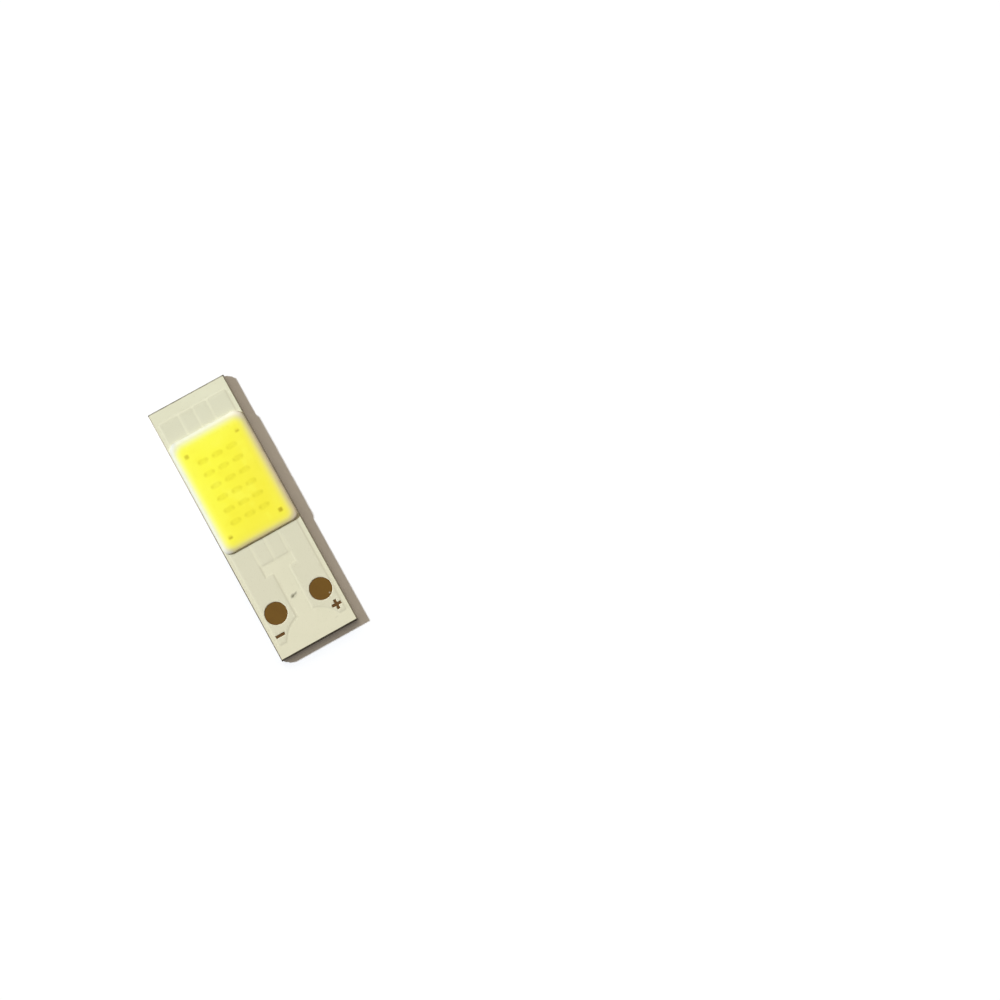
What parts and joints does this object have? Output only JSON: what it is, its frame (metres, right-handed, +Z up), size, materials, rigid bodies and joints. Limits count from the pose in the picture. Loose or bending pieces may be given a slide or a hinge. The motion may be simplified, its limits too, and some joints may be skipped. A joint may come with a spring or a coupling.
{
  "type": "led chip",
  "caption": "Flat chip-on-board LED light module: metal-core strip board, white solder mask, round solder pads, and a dam of yellow phosphor gel over flip-mounted dice.",
  "frame": {"origin": "centre of the board's underside, the face that lies on a heat sink", "axes": "+X across the board towards the plus pad, +Y along the board from the solder pads towards the light field, +Z up out of the light field"},
  "size_m": [0.011, 0.036, 0.0017],
  "materials": {
    "aluminium_core": "rolled underside, scored and snapped edges",
    "dielectric": "filled resin, seen only as a line at the edge",
    "copper_foil": "dull brown bare copper where the mask is open",
    "solder_mask": "satin warm white with a slight orange peel",
    "solder": "reflowed solder, sealed under the gel",
    "led_die": "clear sapphire, sealed under the gel",
    "dam_silicone": "smooth white silicone bead",
    "phosphor_gel": "smooth cured silicone filled with yellow phosphor"
  },
  "bodies": {
    "root": {"base_plate": "aluminium_core", "dielectric_layer": "dielectric", "negative_bus": "copper_foil", "link_strip_1": "copper_foil", "link_strip_2": "copper_foil", "positive_bus": "copper_foil", "solder_mask": "solder_mask", "die_solder": "solder", "led_die_r1c1": "led_die", "led_die_r1c2": "led_die", "led_die_r1c3": "led_die", "led_die_r2c1": "led_die", "led_die_r2c2": "led_die", "led_die_r2c3": "led_die", "led_die_r3c1": "led_die", "led_die_r3c2": "led_die", "led_die_r3c3": "led_die", "led_die_r4c1": "led_die", "led_die_r4c2": "led_die", "led_die_r4c3": "led_die", "led_die_r5c1": "led_die", "led_die_r5c2": "led_die", "led_die_r5c3": "led_die", "led_die_r6c1": "led_die", "led_die_r6c2": "led_die", "led_die_r6c3": "led_die", "dam": "dam_silicone", "phosphor_gel": "phosphor_gel"}
  },
  "joints": []
}
